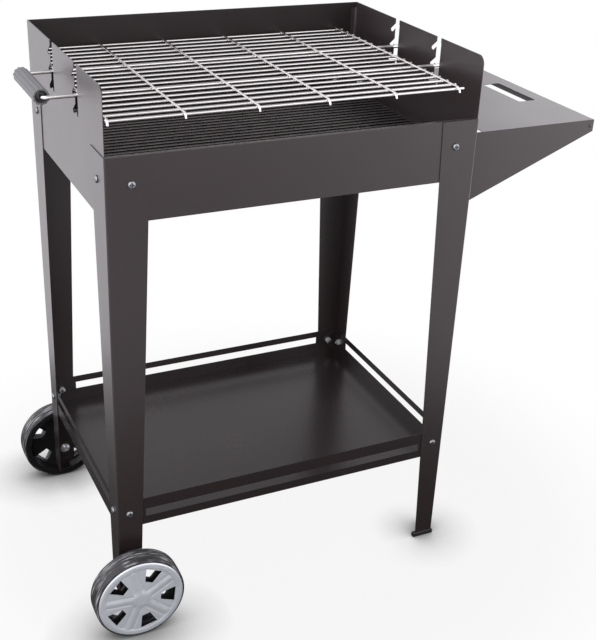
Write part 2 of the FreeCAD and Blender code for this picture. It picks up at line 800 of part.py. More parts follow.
sk = new_sketch(body, "YZ_Plane", half_w)
for face in (-1, 1):
    for z in (box_bolt_z, table_bolt_z):
        ring(sk, face * (half_d - dim("firebox_bolt_inset")), z, screw_hole)
cut(body, sk, table_t * 3, 1)
sk = new_sketch(body, "XZ_Plane", -table_half)
rivet_r = dim("rivet_shank") / 2
rivet_x = table_x - dim("rivet_inset")
rivet_z = table_z - dim("table_lip") / 2
ring(sk, rivet_x, rivet_z, rivet_r)
cut(body, sk, table_half * 2, 1)


def pattern_body(name):
    """Body that is only a master for a group of equal small parts."""
    return doc.addObject("PartDesign::Body", name)


# Masters of the small parts, each standing on its seat with its axis along Z.
screw = pattern_body("screw_master")
sk = new_sketch(screw, "XZ_Plane", 0)
head_r = dim("screw_head") / 2
head_h = dim("screw_head_height")
shank_r = dim("screw_shank") / 2
outline(sk, [(0, -dim("screw_length")), (shank_r, -dim("screw_length")), (shank_r, 0), (head_r, 0),
             (head_r, dim("screw_head_side")), (dim("screw_head_flat") / 2, head_h), (0, head_h)])
revolve(screw, sk, "V_Axis")


def hexagon(sk, flats):
    radius = flats / math.sqrt(3)
    outline(sk, [(radius * math.cos(math.pi / 3 * i), radius * math.sin(math.pi / 3 * i)) for i in range(6)])


nut = pattern_body("nut_master")
sk = new_sketch(nut, "XY_Plane", 0)
hexagon(sk, dim("screw_nut"))
ring(sk, 0, 0, shank_r)
pad(nut, sk, dim("screw_nut_height"))

axle_nut = pattern_body("axle_nut_master")
sk = new_sketch(axle_nut, "XY_Plane", 0)
hexagon(sk, dim("axle_nut"))
ring(sk, 0, 0, dim("axle_shank") / 2 + dim("axle_play"))
pad(axle_nut, sk, dim("axle_nut_height"))

rivet = pattern_body("rivet_master")
sk = new_sketch(rivet, "XZ_Plane", 0)
rivet_end = -(2 * table_t + dim("rivet_tail"))
rivet_top = dim("rivet_head_height")
outline(sk, [(0, rivet_end), (rivet_r, rivet_end), (rivet_r, 0), (dim("rivet_head") / 2, 0),
             (dim("rivet_head") / 4, rivet_top), (0, rivet_top)])
revolve(rivet, sk, "V_Axis")
doc.recompute()

OUT = {"+x": FreeCAD.Rotation(V(0, 1, 0), 90), "-x": FreeCAD.Rotation(V(0, 1, 0), -90),
       "+y": FreeCAD.Rotation(V(1, 0, 0), -90), "-y": FreeCAD.Rotation(V(1, 0, 0), 90)}


def copies(name, master, seats):
    """Group of equal parts: each seat is a point and the way the part's top faces."""
    solids = []
    for point, way in seats:
        shape = master.Shape.copy()
        shape.Placement = FreeCAD.Placement(V(*[num(p) for p in point]), OUT[way])
        solids.append(shape)
    group = doc.addObject("Part::Feature", name)
    group.Shape = Part.makeCompound(solids)
    group.Placement = FreeCAD.Placement(V(shift_x.value, 0, 0), FreeCAD.Rotation())
    NODES[name] = group


def way_of(letter, sign):
    return ("+" if sign > 0 else "-") + letter


box_seats = []
box_nut_seats = []
shelf_seats = []
shelf_nut_seats = []
table_seats = []
table_nut_seats = []
for side in (-1, 1):
    for face in (-1, 1):
        x = side * (half_w - dim("firebox_bolt_inset"))
        y = face * (half_d - dim("firebox_bolt_inset"))
        z = box_bolt_z
        box_seats.append(((x, face * half_d, z), way_of("y", face)))
        box_nut_seats.append(((x, face * inner_y, z), way_of("y", -face)))
        if side < 0:
            box_seats.append(((-half_w, y, z), "-x"))
            box_nut_seats.append(((-inner_x, y, z), "+x"))
        else:
            table_seats.append(((half_w + table_t, y, z), "+x"))
            table_nut_seats.append(((inner_x, y, z), "-x"))
            table_seats.append(((half_w + table_t, y, table_bolt_z), "+x"))
            table_nut_seats.append(((panel_x, y, table_bolt_z), "-x"))
        x = side * (half_w - dim("shelf_bolt_inset"))
        y = face * (half_d - dim("shelf_bolt_inset"))
        z = shelf_bolt_z
        shelf_seats.append(((x, face * half_d, z), way_of("y", face)))
        shelf_nut_seats.append(((x, face * inner_y, z), way_of("y", -face)))
        shelf_seats.append(((side * half_w, y, z), way_of("x", side)))
        shelf_nut_seats.append(((side * inner_x, y, z), way_of("x", -side)))
copies("firebox_screws", screw, box_seats)
copies("firebox_nuts", nut, box_nut_seats)
copies("shelf_screws", screw, shelf_seats)
copies("shelf_nuts", nut, shelf_nut_seats)
copies("table_screws", screw, table_seats)
copies("table_nuts", nut, table_nut_seats)
copies("table_rivets", rivet, [((rivet_x, face * table_half, rivet_z), way_of("y", face)) for face in (-1, 1)])

# Wheels. Each is drawn with its outside facing +Y, along the axle from the outer side
# of the leg, and the front one is turned round.
leg_face = half_d
hub_in = leg_face + dim("axle_washer_height") + dim("run_gap")
tyre_in = leg_face + dim("wheel_standoff")
tyre_out = tyre_in + dim("wheel_width")
web_out = tyre_out - dim("web_recess")
web_in = web_out - dim("wheel_web")
hub_out = tyre_out - dim("hub_recess")
bore = dim("axle_shank") / 2 + dim("axle_play")
hub_r = dim("hub_diameter") / 2
bead = wheel_r - dim("tyre_depth")
shoulder = dim("wheel_shoulder")
draft = dim("hub_draft")
window_count = 5


def set_on_axle(body, face):
    """Put a piece on its axle, its outside facing out."""
    turn = FreeCAD.Rotation(V(0, 0, 1), 0 if face > 0 else 180)
    body.Placement = FreeCAD.Placement(V(num(wheel_x + shift_x), 0, num(wheel_r)), turn)
    bind(body, "Placement.Base.x", wheel_x + shift_x)
    bind(body, "Placement.Base.z", wheel_r)


def turned_sketch(body, level, turn):
    """Sketch across the axle, turned about it as the wheel has come to stand."""
    sk = new_sketch(body, "XZ_Plane", level)
    offset = sk.AttachmentOffset
    offset.Rotation = FreeCAD.Rotation(V(0, 0, 1), num(turn))
    sk.AttachmentOffset = offset
    bind(sk, "AttachmentOffset.Rotation.Angle", turn)
    return sk


def window_sketch(body, level, turn):
    sk = turned_sketch(body, level, turn)
    low = dim("window_inner")
    high = bead - dim("window_rim")
    outline(sk, [(-dim("window_inner_half"), low), (dim("window_inner_half"), low),
                 (dim("window_outer_half"), high), (-dim("window_outer_half"), high)])
    return sk


for label, face in (("front", -1), ("rear", 1)):
    # Moulded wheel: tread, bead, web with five windows and a long hub.
    turn = dim(label + "_wheel_turn")
    body = new_body("wheel_" + label)
    sk = new_sketch(body, "YZ_Plane", 0)
    outline(sk, [(hub_in, bore), (hub_in, hub_r - draft), (web_in, hub_r), (web_in, bead),
                 (tyre_in, bead), (tyre_in, wheel_r - shoulder), (tyre_in + shoulder, wheel_r),
                 (tyre_out - shoulder, wheel_r), (tyre_out, wheel_r - shoulder), (tyre_out, bead),
                 (web_out, bead), (web_out, hub_r), (hub_out, hub_r - draft), (hub_out, bore)])
    revolve(body, sk, "H_Axis")
    opening = cut(body, window_sketch(body, web_in - 1, turn), dim("wheel_web") + 2, 1)
    around(body, opening, "Y_Axis", window_count)
    set_on_axle(body, face)

    # Cover disc on the outside of the wheel with raised spokes between its windows.
    body = new_body("wheel_cap_" + label)
    cap_r = wheel_r - dim("cap_inset")
    cap_h = dim("cap_height")
    sk = new_sketch(body, "YZ_Plane", 0)
    disc = tyre_out + dim("cap_disc")
    boss = tyre_out + dim("cap_boss")
    outline(sk, [(tyre_out, 0), (boss, 0), (boss, dim("cap_boss_flat")), (disc, dim("cap_boss_foot")),
                 (disc, cap_r - dim("cap_rim_foot")), (tyre_out + cap_h, cap_r - dim("cap_rim_flat")),
                 (tyre_out + cap_h, cap_r - dim("cap_edge")), (disc, cap_r), (tyre_out, cap_r)])
    revolve(body, sk, "H_Axis")
    opening = cut(body, window_sketch(body, tyre_out - 1, turn), cap_h * 2, 1)
    around(body, opening, "Y_Axis", window_count)
    spoke_base = dim("cap_disc") - dim("spoke_sink")
    sk = turned_sketch(body, tyre_out + spoke_base, turn)
    near_r = -dim("spoke_start")
    far_r = -(cap_r - dim("spoke_end_room"))
    outline(sk, [(-dim("spoke_inner_half"), near_r), (dim("spoke_inner_half"), near_r),
                 (dim("spoke_outer_half"), far_r), (-dim("spoke_outer_half"), far_r)])
    spoke = pad(body, sk, dim("spoke_height") - spoke_base, 1)
    around(body, spoke, "Y_Axis", window_count)
    set_on_axle(body, face)

    # Axle bolt from the inside of the leg through the washer and the hub. Its nut is
    # under the cover.
    body = new_body("axle_bolt_" + label)
    sk = new_sketch(body, "YZ_Plane", 0)
    axle_r = dim("axle_shank") / 2
    head_in = leg_face - leg_t
    head_top = head_in - dim("axle_head_height")
    axle_end = hub_out + dim("run_gap") + dim("axle_nut_height") + dim("axle_tip")
    outline(sk, [(head_top, 0), (axle_end, 0), (axle_end, axle_r), (head_in, axle_r),
                 (head_in, dim("axle_head") / 2), (head_in - dim("axle_head_side"), dim("axle_head") / 2),
                 (head_top, dim("axle_head_flat") / 2)])
    revolve(body, sk, "H_Axis")
    set_on_axle(body, face)

    body = new_body("axle_washer_" + label)
    sk = new_sketch(body, "XZ_Plane", leg_face)
    ring(sk, 0, 0, dim("axle_washer") / 2)
    ring(sk, 0, 0, bore)
    pad(body, sk, dim("axle_washer_height"), 1)
    set_on_axle(body, face)

nut_seat = hub_out + dim("run_gap")
nut_seats = [((wheel_x, face * nut_seat, wheel_r), way_of("y", face)) for face in (-1, 1)]
copies("axle_nuts", axle_nut, nut_seats)

doc.recompute()
for thing in doc.Objects:
    if "Invalid" in thing.State or "Error" in thing.State:
        raise RuntimeError("feature %s is not sound" % thing.Name)
os.makedirs("parts", exist_ok=True)
for name, thing in NODES.items():
    shape = thing.Shape
    if shape.isNull() or not shape.isValid() or not shape.Solids:
        raise RuntimeError("node %s has no sound solid" % name)
    shape.exportStep("parts/%s.step" % name)
    print(name, len(shape.Solids), [round(v, 1) for v in (shape.BoundBox.XMin, shape.BoundBox.XMax,
          shape.BoundBox.YMin, shape.BoundBox.YMax, shape.BoundBox.ZMin, shape.BoundBox.ZMax)])
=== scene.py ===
import math

import bmesh
import bpy
import numpy as np
from mathutils import Matrix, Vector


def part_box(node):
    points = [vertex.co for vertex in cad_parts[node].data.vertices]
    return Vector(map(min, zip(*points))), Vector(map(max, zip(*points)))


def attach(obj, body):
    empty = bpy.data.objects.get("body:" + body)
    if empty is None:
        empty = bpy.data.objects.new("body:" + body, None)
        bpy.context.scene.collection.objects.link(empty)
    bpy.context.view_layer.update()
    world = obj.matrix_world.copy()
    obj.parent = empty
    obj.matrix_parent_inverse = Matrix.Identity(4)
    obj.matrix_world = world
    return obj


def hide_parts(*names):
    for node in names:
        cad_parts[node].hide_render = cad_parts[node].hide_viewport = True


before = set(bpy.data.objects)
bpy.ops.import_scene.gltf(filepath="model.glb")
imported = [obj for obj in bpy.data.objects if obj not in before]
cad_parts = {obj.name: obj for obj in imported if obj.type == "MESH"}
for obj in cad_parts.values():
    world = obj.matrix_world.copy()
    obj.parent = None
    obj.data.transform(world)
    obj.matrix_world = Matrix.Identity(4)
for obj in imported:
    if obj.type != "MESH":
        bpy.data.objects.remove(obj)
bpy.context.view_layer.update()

# The four legs are angles folded from sheet steel, wide at the rim and narrow at the ground.
# Like the other sheets they are sprayed with anthracite stove paint, half glossy and a little
# cloudy, with the fine orange-peel relief of a sprayed coat.


class Tone:
    """One value on its way through a material's nodes. Arithmetic on it adds Math nodes."""

    def __init__(self, tree, socket=None):
        self.tree = tree
        self.socket = socket

    def node(self, kind, settings=None, inputs=None, out=0):
        """Any other node: its settings are set first, then the values or links of its sockets."""
        made = self.tree.nodes.new(kind)
        for key, value in (settings or {}).items():
            setattr(made, key, value)
        for key, value in (inputs or {}).items():
            if isinstance(value, Tone):
                self.tree.links.new(value.socket, made.inputs[key])
            else:
                made.inputs[key].default_value = value
        return Tone(self.tree, made.outputs[out] if len(made.outputs) else None)

    def reckon(self, operation, first, second):
        """One Math node on two values, either of which may be a plain number."""
        return self.node("ShaderNodeMath", {"operation": operation}, {0: first, 1: second})

    def __add__(self, other):
        return self.reckon("ADD", self, other)

    def __radd__(self, other):
        return self.reckon("ADD", other, self)

    def __sub__(self, other):
        return self.reckon("SUBTRACT", self, other)

    def __rsub__(self, other):
        return self.reckon("SUBTRACT", other, self)

    def __mul__(self, other):
        return self.reckon("MULTIPLY", self, other)

    def __rmul__(self, other):
        return self.reckon("MULTIPLY", other, self)

    def noise(self, scale, detail):
        """Noise read at this point, with about as many spots to the metre as the scale says."""
        return self.node("ShaderNodeTexNoise", None,
                         {"Vector": self, "Scale": scale, "Detail": detail}, "Fac")

    def between(self, first, second):
        """The colour that lies this far from the first colour to the second."""
        return self.node("ShaderNodeMix", {"data_type": "RGBA"}, {0: self, 6: first, 7: second}, 2)


def new_finish(name, **constants):
    """A material with the even values of its shader set, that shader, and Object coordinates."""
    material = bpy.data.materials.new(name)
    material.use_nodes = True
    shader = material.node_tree.nodes["Principled BSDF"]
    for key, value in constants.items():
        shader.inputs[key.replace("_", " ")].default_value = value
    place = Tone(material.node_tree).node("ShaderNodeTexCoord", out="Object")
    return material, shader, place


def feed(shader, **tones):
    """Link the tones that change over the surface to the shader's sockets."""
    for key, tone in tones.items():
        tone.tree.links.new(tone.socket, shader.inputs[key.replace("_", " ")])


def relief(height, strength, depth):
    """Bump that follows a height tone, so many metres deep where the tone is 1."""
    return height.node("ShaderNodeBump", None,
                       {"Height": height, "Strength": strength, "Distance": depth}, "Normal")


def dress(names, material):
    """Give CAD nodes a finish in place of the plain one that they come with."""
    for name in names:
        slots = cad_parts[name].data.materials
        slots.clear()
        slots.append(material)


def stove_paint(name, deep, pale, gloss, coat=0.85):
    """Sprayed paint: the colour drifts between two greys in soft clouds with some fine specks,
    the roughness drifts with both about its middle value, and the relief is orange peel, a grain
    of about a millimetre, on low waves."""
    material, shader, place = new_finish(name, IOR=1.38, Coat_Weight=coat, Coat_IOR=1.46,
                                         Coat_Roughness=gloss)
    cloud, speck = place.noise(7.0, 3.0), place.noise(160.0, 2.0)
    wave, peel = place.noise(38.0, 1.0), place.noise(900.0, 1.0)
    cloud_share, cloud_dulling, speck_dulling, wave_height = 0.75, 0.10, 0.05, 4.0
    even = gloss - (cloud_dulling + speck_dulling) / 2
    feed(shader,
         Base_Color=(cloud * cloud_share + speck * (1 - cloud_share)).between(deep, pale),
         Roughness=cloud * cloud_dulling + speck * speck_dulling + even,
         Normal=relief(peel + wave * wave_height, strength=0.3, depth=0.0001))
    return material


anthracite = stove_paint("anthracite_paint", deep=(0.0160, 0.0100, 0.0098, 1),
                         pale=(0.0250, 0.0168, 0.0166, 1), gloss=0.36)
dress(["leg_front_left", "leg_rear_left", "leg_front_right", "leg_rear_right"], anthracite)

# The right legs stand in two black plastic feet, each moulded in one piece and pushed on from
# below. The plastic is dull and has an eroded grain.


def grained(name, deep, pale, dull, grain):
    """A dull, nearly even surface, as moulded plastic and blackened steel have: slow flow marks
    in colour and roughness, and a fine eroded grain in the relief."""
    material, shader, place = new_finish(name, IOR=1.5)
    flow, uneven = place.noise(30.0, 4.0), 0.16
    feed(shader,
         Base_Color=flow.between(deep, pale),
         Roughness=flow * uneven + (dull - uneven / 2),
         Normal=relief(place.noise(grain, 2.0), strength=0.2, depth=0.0001))
    return material


black_plastic = grained("black_plastic", deep=(0.012, 0.012, 0.013, 1),
                        pale=(0.024, 0.023, 0.024, 1), dull=0.46, grain=700.0)
dress(["foot_front_right", "foot_rear_right"], black_plastic)

# The fire box is of thin painted sheet screwed to the legs: a low front, two slotted sides and a
# back that stand up as a wind shield, a floor pan and two ledges. The back and the floor are
# painted darker as painted shade, and the right side is matt and painted paler as painted light.
dress(["front_panel", "left_panel", "grate_ledge_left", "grate_ledge_right"], anthracite)
paint_with_painted_shade = stove_paint("painted_shade_paint", deep=(0.0120, 0.0085, 0.0085, 1),
                     pale=(0.0190, 0.0140, 0.0142, 1), gloss=0.40, coat=0.20)
dress(["back_panel", "firebox_floor"], paint_with_painted_shade)
matt_paint_with_painted_light = stove_paint("matt_painted_light_paint", deep=(0.0240, 0.0170, 0.0175, 1),
                     pale=(0.0375, 0.0278, 0.0288, 1), gloss=0.44)
dress(["right_panel"], matt_paint_with_painted_light)

# The charcoal grate lies loose on the two ledges: round bars of black annealed wire, spot welded
# on three runners. Each crossing has the small flash that the welding leaves.
grate_wire, grate_bar_count, runner_count = 0.005, 28, 3


def metal_finish(name, deep, pale, marks, least_dull, uneven, metallic=1.0, grain=None):
    """Bare, plated or silvered surface: colour and roughness drift together over marks, a noise
    given by its scale and detail. A grain, if any, is given by scale, strength and depth."""
    material, shader, place = new_finish(name, Metallic=metallic)
    mark = place.noise(*marks)
    feed(shader, Base_Color=mark.between(deep, pale), Roughness=mark * uneven + least_dull)
    if grain:
        scale, strength, depth = grain
        feed(shader, Normal=relief(place.noise(scale, 2.0), strength, depth))
    return material


def quads(rows, columns, round_rows, round_columns):
    """Corner numbers of the faces of a grid of points, joined up round either way if asked."""
    i, j = np.meshgrid(np.arange(rows if round_rows else rows - 1),
                       np.arange(columns if round_columns else columns - 1), indexing="ij")
    below, beside = (i + 1) % rows, (j + 1) % columns
    return np.stack([i * columns + j, i * columns + beside,
                     below * columns + beside, below * columns + j], -1)


def make_piece(name, points, faces, material, body):
    """Mesh of computed points and faces with poles and seams closed, riding on a body."""
    seam_gap, crease = 1e-7, math.radians(38)
    mesh = bpy.data.meshes.new(name)
    mesh.from_pydata(points.reshape(-1, 3).tolist(), [], faces.reshape(-1, 4).tolist())
    skin = bmesh.new()
    skin.from_mesh(mesh)
    bmesh.ops.remove_doubles(skin, verts=skin.verts, dist=seam_gap)
    bmesh.ops.recalc_face_normals(skin, faces=skin.faces)
    skin.to_mesh(mesh)
    skin.free()
    mesh.polygons.foreach_set("use_smooth", np.ones(len(mesh.polygons), bool))
    mesh.set_sharp_from_angle(angle=crease)
    mesh.materials.append(material)
    piece = bpy.data.objects.new(name, mesh)
    bpy.context.scene.collection.objects.link(piece)
    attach(piece, body)
    return piece


def weld_flash(along, across, height, reach, rise):
    """Ellipsoids c + (a cos u cos v, a sin u cos v, b sin v), with a the reach and b the rise,
    one on each crossing c of the wires at these places along x and across y."""
    rings, around = 6, 8
    y, x = np.meshgrid(across, along)
    centres = np.stack([x, y, np.full(x.shape, height)], -1).reshape(-1, 1, 1, 3)
    u = np.linspace(0, 2 * np.pi, around, endpoint=False)[None, :]
    v = np.linspace(-np.pi / 2, np.pi / 2, rings)[:, None]
    bead = np.stack([reach * np.cos(u) * np.cos(v), reach * np.sin(u) * np.cos(v),
                     rise * np.sin(v) + 0 * u], -1)
    first = (np.arange(len(centres)) * rings * around)[:, None, None]
    return centres + bead, quads(rings, around, False, True).reshape(1, -1, 4) + first


def spread(node, axis, count, thickness):
    """Middles of the equal wires of a node along x, axis 0, or y, axis 1, from its box."""
    low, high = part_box(node)
    return np.linspace(low[axis] + thickness / 2, high[axis] - thickness / 2, count)


annealed = metal_finish("annealed_wire", deep=(0.065, 0.060, 0.059, 1),
                        pale=(0.150, 0.139, 0.137, 1), marks=(60.0, 4.0), least_dull=0.16,
                        uneven=0.20, metallic=0.9, grain=(500.0, 0.3, 0.0001))
dress(["grate_bars", "grate_runners"], annealed)
points, faces = weld_flash(spread("grate_runners", 0, runner_count, grate_wire),
                           spread("grate_bars", 1, grate_bar_count, grate_wire),
                           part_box("grate_bars")[0].z, reach=0.0030, rise=0.0012)
make_piece("grate_welds", points, faces, annealed, "charcoal_grate")

# The cooking grid is bright chromed wire: long wires under six cross wires, spot welded, with
# one thicker rod that carries it in the slots and comes out on the left as the handle.
long_wire, long_wire_count = 0.004, 19
cross_wire, cross_wire_count = 0.0035, 6
chrome = metal_finish("bright_chrome", deep=(0.68, 0.66, 0.65, 1), pale=(0.82, 0.80, 0.79, 1),
                      marks=(45.0, 3.0), least_dull=0.12, uneven=0.16)
dress(["grid_long_wires", "grid_cross_wires", "grid_rod"], chrome)
points, faces = weld_flash(spread("grid_cross_wires", 0, cross_wire_count, cross_wire),
                           spread("grid_long_wires", 1, long_wire_count, long_wire),
                           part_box("grid_long_wires")[1].z, reach=0.0020, rise=0.0009)
make_piece("grid_welds", points, faces, chrome, "grill")

# The grip is a hollow roll of dark grey plastic, moulded with flutes along it for the hand. It
# sits loose on the handle wire and turns on it.
grip_plastic = grained("grip_plastic", deep=(0.138, 0.140, 0.147, 1),
                       pale=(0.192, 0.194, 0.203, 1), dull=0.36, grain=900.0)
dress(["handle_grip"], grip_plastic)

# The shelf tray is one sheet folded up on four sides, with a long window cut in each wall, and
# is screwed between the legs. Its paint has kept more gloss than that of the outer sheets.
tray_paint = stove_paint("tray_paint", deep=(0.0150, 0.0096, 0.0100, 1),
                         pale=(0.0235, 0.0162, 0.0170, 1), gloss=0.26)
dress(["shelf_tray"], tray_paint)

# The side table is folded from one painted sheet: a top with a hand hole, a lip, and two gussets
# whose flanges are screwed to the fire box. Two blackened steel rivets close its corners.
dress(["side_table"], anthracite)
rivet_black = grained("blackened_steel", deep=(0.020, 0.020, 0.021, 1),
                      pale=(0.040, 0.040, 0.041, 1), dull=0.4, grain=900.0)
dress(["table_rivets"], rivet_black)

# Zinc plated pan-head screws with a cross recess hold the sheets, each with a hexagon nut on the
# inside. The plating of the heads has gone grey and unevenly dull; the nuts are paler, their zinc
# paled and made half diffuse as painted light.
pan_head, pan_rise, shank, shank_length, recess = 0.00575, 0.0036, 0.003, 0.012, 0.0034
firebox_inset, shelf_inset = 0.038, 0.020
left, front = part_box("leg_front_left")[0].x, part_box("leg_front_left")[0].y
right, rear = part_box("leg_rear_right")[1].x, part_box("leg_rear_right")[1].y
zinc = metal_finish("zinc_plate", deep=(0.17, 0.18, 0.19, 1), pale=(0.33, 0.34, 0.35, 1),
                    marks=(220.0, 3.0), least_dull=0.26, uneven=0.24)
zinc_with_painted_light = metal_finish("zinc_with_painted_light", deep=(0.70, 0.73, 0.74, 1), pale=(0.92, 0.95, 0.96, 1),
                          marks=(260.0, 3.0), least_dull=0.20, uneven=0.20, metallic=0.35)
dress(["firebox_nuts", "shelf_nuts", "table_nuts"], zinc_with_painted_light)


def ramp(value, start, end):
    """From 0 to 1 while a value goes from start to end, and level outside that."""
    return np.clip((value - start) / (end - start), 0, 1)


def screw_shape():
    """Turned section (r, w) times a full circle: a crown w = rise (1 - 0.55 (r / head)^4), its
    rim, and a shank whose radius is a helix, r - depth |2 saw(w / pitch - angle) - 1|. A cross is
    pressed into the crown where the nearer of |x| and |y| is under the blade's half width."""
    around, pitch, thread_depth = 40, 0.0008, 0.0004
    blade_half, blade_slope, tip_slope = recess * 0.20, 0.0002, 0.0005
    cross_depth = pan_rise * 0.6
    crown = np.linspace(0, 0.93, 15)
    down = np.arange(0, shank_length - pitch, pitch / 4)
    rim = [(pan_head * 0.985, pan_rise * 0.40), (pan_head, pan_rise * 0.30), (pan_head, 0.0003),
           (pan_head * 0.96, 0), (shank, 0)]
    section = np.concatenate([
        np.column_stack([crown * pan_head, pan_rise * (1 - 0.55 * crown ** 4)]), rim,
        np.column_stack([np.full(len(down), shank), -down]),
        [(shank * 0.7, -shank_length), (0, -shank_length)]])
    r, w = section[:, :1], section[:, 1:]
    angle = np.linspace(0, 2 * np.pi, around, endpoint=False)[None, :]
    row = np.arange(len(section))[:, None]
    first_turn = len(crown) + len(rim)
    threaded = (row >= first_turn) & (row < first_turn + len(down))
    saw = (w / pitch - angle / (2 * np.pi)) % 1.0
    r = np.where(threaded, r - thread_depth * np.abs(2 * saw - 1), r)
    x, y = r * np.cos(angle), r * np.sin(angle)
    blade = ramp(np.minimum(abs(x), abs(y)), blade_half, blade_half - blade_slope)
    tip = ramp(r, recess, recess - tip_slope)
    w = np.where(row < len(crown), w - blade * tip * cross_depth, w)
    return np.stack([x, y, w], -1), quads(len(section), around, False, True)


def along_sides(inset, height):
    """Seats near both ends of the front and back faces, each with its way outward."""
    return [((x, y, height), (0, way, 0))
            for x in (left + inset, right - inset) for y, way in ((front, -1), (rear, 1))]


def along_ends(inset, height, ends):
    """Seats near both corners of the ends, given as (x, way), each with its way outward."""
    return [((x, y, height), (way, 0, 0))
            for y in (front + inset, rear - inset) for x, way in ends]


def set_screws(name, seats):
    """Copies of one screw, seat + x t1 + y t2 + w outward, each turned by its own angle."""
    turned_by = 2.4
    shape, faces = screw_shape()
    seats, outward = np.array(seats, float).swapaxes(0, 1)
    first = np.cross(outward, (0.0, 0.0, 1.0))
    second = np.cross(outward, first)
    turn = (np.arange(len(seats)) * turned_by)[:, None]
    t1 = np.cos(turn) * first + np.sin(turn) * second
    ways = np.stack([t1, np.cross(outward, t1), outward], 1)
    points = seats[:, None, None, :] + shape @ ways[:, None]
    numbers = faces.reshape(1, -1, 4) + (np.arange(len(seats)) * shape[..., 0].size)[:, None, None]
    piece = make_piece(name + "_cross", points, numbers, zinc, "frame")
    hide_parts(name)


low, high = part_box("firebox_screws")
middle = (low.z + high.z) / 2
set_screws("firebox_screws", along_sides(firebox_inset, middle)
           + along_ends(firebox_inset, middle, [(left, -1)]))
low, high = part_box("shelf_screws")
middle = (low.z + high.z) / 2
set_screws("shelf_screws", along_sides(shelf_inset, middle)
           + along_ends(shelf_inset, middle, [(left, -1), (right, 1)]))
low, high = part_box("table_screws")
flange = [(high.x - pan_rise, 1)]
set_screws("table_screws", along_ends(firebox_inset, high.z - pan_head, flange)
           + along_ends(firebox_inset, low.z + pan_head, flange))

# Each left leg has a wheel's axle: a steel bolt with a domed head, put through from inside, with
# a washer between leg and hub and a nut on its outer end, all in zinc paled with painted light.
dress(["axle_bolt_front", "axle_bolt_rear", "axle_washer_front", "axle_washer_rear", "axle_nuts"],
      zinc_with_painted_light)

# Two plastic wheels run on the axles: black mouldings with a grooved tread, a web with five
# windows and a long hub. Rolling has rubbed the tread grey and scuffed it, and the pale streaks
# round it are part scuff and part painted highlight.
axle_x, axle_z = -0.37635, 0.074
tyre_radius, wheel_width, tread_half = 0.0740, 0.035, 0.0145
spokes, window_columns, spoke_columns = 5, 16, 40
window_low, window_high = 0.033, 0.057
window_half_low, window_half_high = 0.007, 0.0145
fifth = 2 * np.pi / spokes
# Each wheel's name, the side that it faces and the turn at which it has come to stand.
standing = (("front", -1, math.radians(23.75)), ("rear", 1, math.radians(7.0)))


def step(tone, start, end, low=0.0, high=1.0, bend="LINEAR"):
    """From low to high while a tone goes from start to end, and level outside that."""
    return tone.node("ShaderNodeMapRange", {"interpolation_type": bend},
                     {"Value": tone, "From Min": start, "From Max": end,
                      "To Min": low, "To Max": high})


def rolled_plastic(name, black, rubbed, scuff_and_highlight):
    """Black wheel plastic. Noise drawn out round the axle, read at the point (k x / r, m (y + r),
    k z / r), makes the gloss, the relief and the pale streaks run round the tread, which is rubbed
    grey where r is nearly the full radius. The pale streaks are part scuff, part painted highlight."""
    drawn_out, lines, streak_share, patch_height = 2.2, 420.0, 0.7, 0.6
    least_dull, uneven = 0.10, 0.36
    material, shader, place = new_finish(name, IOR=1.34)
    from_axle = place.node("ShaderNodeVectorMath", {"operation": "SUBTRACT"},
                           {0: place, 1: (axle_x, 0, axle_z)})
    flat = from_axle.node("ShaderNodeVectorMath", {"operation": "MULTIPLY"},
                          {0: from_axle, 1: (1, 0, 1)})
    distance = flat.node("ShaderNodeVectorMath", {"operation": "LENGTH"}, {0: flat}, "Value")
    width = from_axle.node("ShaderNodeSeparateXYZ", None, {0: from_axle}, "Y")
    line = distance.node("ShaderNodeCombineXYZ", None, {"Y": (distance + width) * lines})
    unit = flat.node("ShaderNodeVectorMath", {"operation": "NORMALIZE"}, {0: flat})
    drawn = unit.node("ShaderNodeVectorMath", {"operation": "MULTIPLY_ADD"},
                      {0: unit, 1: (drawn_out, 1, drawn_out), 2: line})
    streak, patch = drawn.noise(1.0, 3.0), place.noise(34.0, 2.0)
    scuff_and_highlight_mask = step(streak * streak_share + patch * (1 - streak_share), start=0.525, end=0.64)
    rolling = step(distance, start=tyre_radius - 0.0040, end=tyre_radius - 0.0015)
    feed(shader,
         Base_Color=rolling.between(black, scuff_and_highlight_mask.between(rubbed, scuff_and_highlight)),
         Roughness=streak * uneven + least_dull,
         Normal=relief(streak + patch * patch_height, strength=0.9, depth=0.0010))
    return material


def in_windows(section):
    """Whether a row of a section crosses the windows."""
    slack = 0.0001
    return (section > window_low - slack) & (section < window_high + slack)


def five_fold(section):
    """Angle and radius of points round the axle, a row for each radius of a section. In each
    fifth of the circle the first columns span a window, whose half width grows with the radius,
    and the rest the spoke. Across a window the rows run straight, r / cos(angle), and from its
    sides they bow back to r at the middle of the spoke with the square of the way there."""
    reach = np.clip(section, window_low, window_high)
    half_width = np.interp(reach, (window_low, window_high), (window_half_low, window_half_high))
    half = np.arctan(half_width / reach)[:, None]
    t = np.linspace(0, 1, spoke_columns, endpoint=False)
    inside = half * np.linspace(-1, 1, window_columns, endpoint=False)
    outside = half + (fifth - 2 * half) * t
    bow = np.concatenate([1 / np.cos(inside) - 1,
                          (1 / np.cos(half) - 1) * (2 * np.abs(t - 0.5)) ** 2], 1)
    radius = section[:, None] * (1 + bow * in_windows(section)[:, None])
    angle = np.concatenate([inside, outside], 1)[:, None, :]
    angle = angle + (np.arange(spokes) * fifth)[None, :, None]
    return angle.reshape(len(section), -1), np.tile(radius, (1, spokes))


